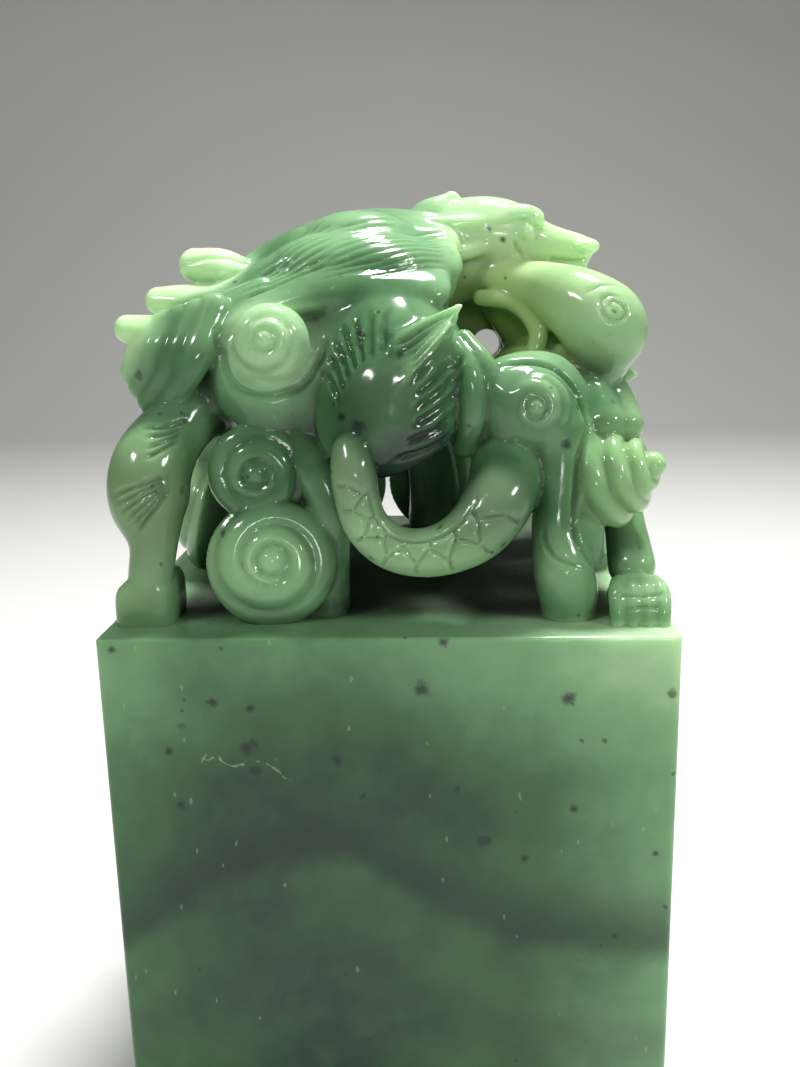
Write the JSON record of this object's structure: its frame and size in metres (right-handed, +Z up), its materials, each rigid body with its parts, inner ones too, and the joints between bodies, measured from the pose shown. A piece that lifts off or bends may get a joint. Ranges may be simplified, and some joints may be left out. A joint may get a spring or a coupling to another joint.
{
  "type": "jade seal with carved dragon knob",
  "caption": "Square green nephrite seal block with an openwork crouching dragon, tail loop and cloud scrolls carved on top, all one stone.",
  "frame": {"origin": "centre of the block's underside", "axes": "+Z up, +Y the way the dragon faces, so the tail loop is on the -Y side, +X to the right seen from the tail"},
  "size_m": [0.05, 0.05, 0.0983],
  "materials": {
    "nephrite": "polished, waxy, slightly translucent; the block's top face is ground matt"
  },
  "bodies": {
    "root": {"jade_seal": "nephrite"}
  },
  "joints": []
}
